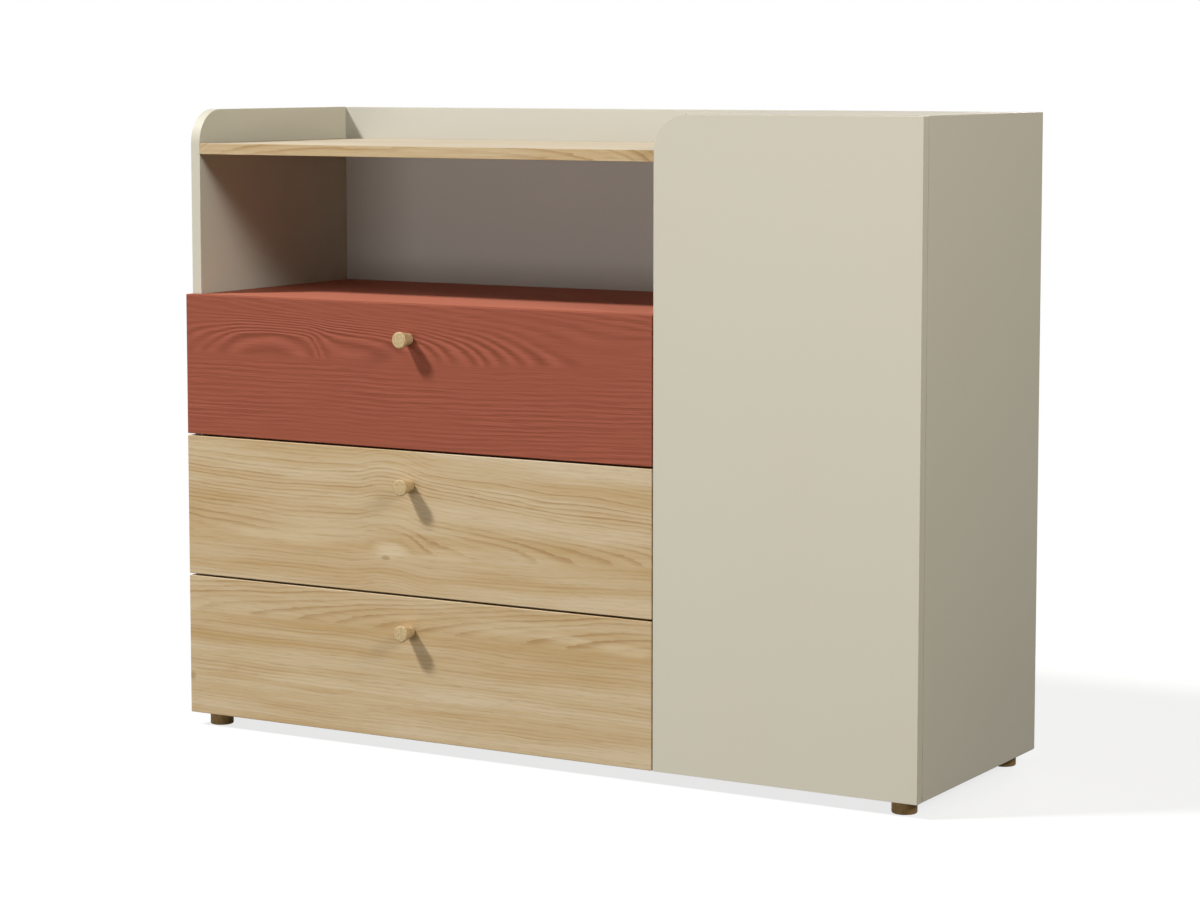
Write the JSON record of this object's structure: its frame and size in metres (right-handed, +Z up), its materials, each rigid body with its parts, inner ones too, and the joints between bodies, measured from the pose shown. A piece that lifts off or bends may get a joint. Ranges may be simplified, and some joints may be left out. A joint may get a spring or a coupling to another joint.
{
  "type": "chest of drawers",
  "caption": "Low chest with knobbed drawers under an oak shelf and an open niche, joined to a taller cupboard whose plain door has a rounded top corner.",
  "frame": {"origin": "on the floor, under the middle of the whole object's box, knobs included", "axes": "+X to the right along the fronts, towards the cupboard; +Y to the back, so the fronts face -Y; +Z up"},
  "size_m": [1.2, 0.426, 0.926],
  "materials": {
    "greige_lacquer": "matt lacquered board",
    "terracotta_lacquer": "open-pore matt lacquer on embossed oak grain",
    "oak_veneer": "matt natural oak with cathedral grain",
    "turned_oak": "satin turned oak",
    "brown_foot": "satin brown stain",
    "drawer_board": "melamine faced board",
    "runner_steel": "zinc plated rolled sheet",
    "hinge_nickel": "nickel plated",
    "latch_plastic": "moulded grey plastic"
  },
  "bodies": {
    "carcass": {"left_side_panel": "greige_lacquer", "right_side_panel": "greige_lacquer", "bottom_panel": "greige_lacquer", "divider_panel": "greige_lacquer", "oak_shelf": "oak_veneer", "niche_floor_panel": "terracotta_lacquer", "cabinet_top_panel": "greige_lacquer", "cabinet_corner_post": "greige_lacquer", "back_panel": "greige_lacquer", "cabinet_shelf_lower": "greige_lacquer", "cabinet_shelf_upper": "greige_lacquer", "foot_front_left": "brown_foot", "foot_front_right": "brown_foot", "foot_rear_left": "brown_foot", "foot_rear_right": "brown_foot", "lower_drawer_left_outer_runner": "runner_steel", "lower_drawer_right_outer_runner": "runner_steel", "middle_drawer_left_outer_runner": "runner_steel", "middle_drawer_right_outer_runner": "runner_steel", "upper_drawer_left_outer_runner": "runner_steel", "upper_drawer_right_outer_runner": "runner_steel", "hinge_arm_lower": "hinge_nickel", "hinge_arm_upper": "hinge_nickel", "push_latch_body": "latch_plastic"},
    "lower_drawer": {"lower_drawer_front": "oak_veneer", "lower_drawer_left_side": "drawer_board", "lower_drawer_right_side": "drawer_board", "lower_drawer_back": "drawer_board", "lower_drawer_bottom": "drawer_board", "lower_drawer_knob": "turned_oak", "lower_drawer_left_inner_runner": "runner_steel", "lower_drawer_right_inner_runner": "runner_steel"},
    "middle_drawer": {"middle_drawer_front": "oak_veneer", "middle_drawer_left_side": "drawer_board", "middle_drawer_right_side": "drawer_board", "middle_drawer_back": "drawer_board", "middle_drawer_bottom": "drawer_board", "middle_drawer_knob": "turned_oak", "middle_drawer_left_inner_runner": "runner_steel", "middle_drawer_right_inner_runner": "runner_steel"},
    "upper_drawer": {"upper_drawer_front": "terracotta_lacquer", "upper_drawer_left_side": "drawer_board", "upper_drawer_right_side": "drawer_board", "upper_drawer_back": "drawer_board", "upper_drawer_bottom": "drawer_board", "upper_drawer_knob": "turned_oak", "upper_drawer_left_inner_runner": "runner_steel", "upper_drawer_right_inner_runner": "runner_steel"},
    "lower_drawer_runners": {"lower_drawer_left_middle_runner": "runner_steel", "lower_drawer_right_middle_runner": "runner_steel"},
    "middle_drawer_runners": {"middle_drawer_left_middle_runner": "runner_steel", "middle_drawer_right_middle_runner": "runner_steel"},
    "upper_drawer_runners": {"upper_drawer_left_middle_runner": "runner_steel", "upper_drawer_right_middle_runner": "runner_steel"},
    "hinge_links": {"hinge_link_lower": "hinge_nickel", "hinge_link_upper": "hinge_nickel"},
    "door": {"door_panel": "greige_lacquer", "hinge_cup_lower": "hinge_nickel", "hinge_cup_upper": "hinge_nickel"},
    "latch_plunger": {"push_latch_plunger": "latch_plastic"}
  },
  "joints": [
    {"name": "lower_drawer_slide", "type": "slide", "parent": "carcass", "child": "lower_drawer", "axis": [0, -1, 0], "range_m": [0, 0.33]},
    {"name": "middle_drawer_slide", "type": "slide", "parent": "carcass", "child": "middle_drawer", "axis": [0, -1, 0], "range_m": [0, 0.33]},
    {"name": "upper_drawer_slide", "type": "slide", "parent": "carcass", "child": "upper_drawer", "axis": [0, -1, 0], "range_m": [0, 0.33]},
    {"name": "lower_runner_slide", "type": "slide", "parent": "carcass", "child": "lower_drawer_runners", "axis": [0, -1, 0], "range_m": [0, 0.165]},
    {"name": "middle_runner_slide", "type": "slide", "parent": "carcass", "child": "middle_drawer_runners", "axis": [0, -1, 0], "range_m": [0, 0.165]},
    {"name": "upper_runner_slide", "type": "slide", "parent": "carcass", "child": "upper_drawer_runners", "axis": [0, -1, 0], "range_m": [0, 0.165]},
    {"name": "hinge_link_swing", "type": "hinge", "parent": "carcass", "child": "hinge_links", "pos_m": [0.574, -0.1755, 0.473], "axis": [0, 0, 1], "range_deg": [-47.5, 0]},
    {"name": "door_swing", "type": "hinge", "parent": "hinge_links", "child": "door", "pos_m": [0.592, -0.1745, 0.473], "axis": [0, 0, 1], "range_deg": [0, 142.5]},
    {"name": "latch_press", "type": "slide", "parent": "carcass", "child": "latch_plunger", "axis": [0, 1, 0], "range_m": [0, 0.0025], "stiffness_N_per_m": 400, "springref_m": -0.002}
  ],
  "couplings": [
    {"joint": "lower_runner_slide", "follows": "lower_drawer_slide", "ratio": 0.5},
    {"joint": "middle_runner_slide", "follows": "middle_drawer_slide", "ratio": 0.5},
    {"joint": "upper_runner_slide", "follows": "upper_drawer_slide", "ratio": 0.5},
    {"joint": "hinge_link_swing", "follows": "door_swing", "ratio": -0.33333}
  ]
}
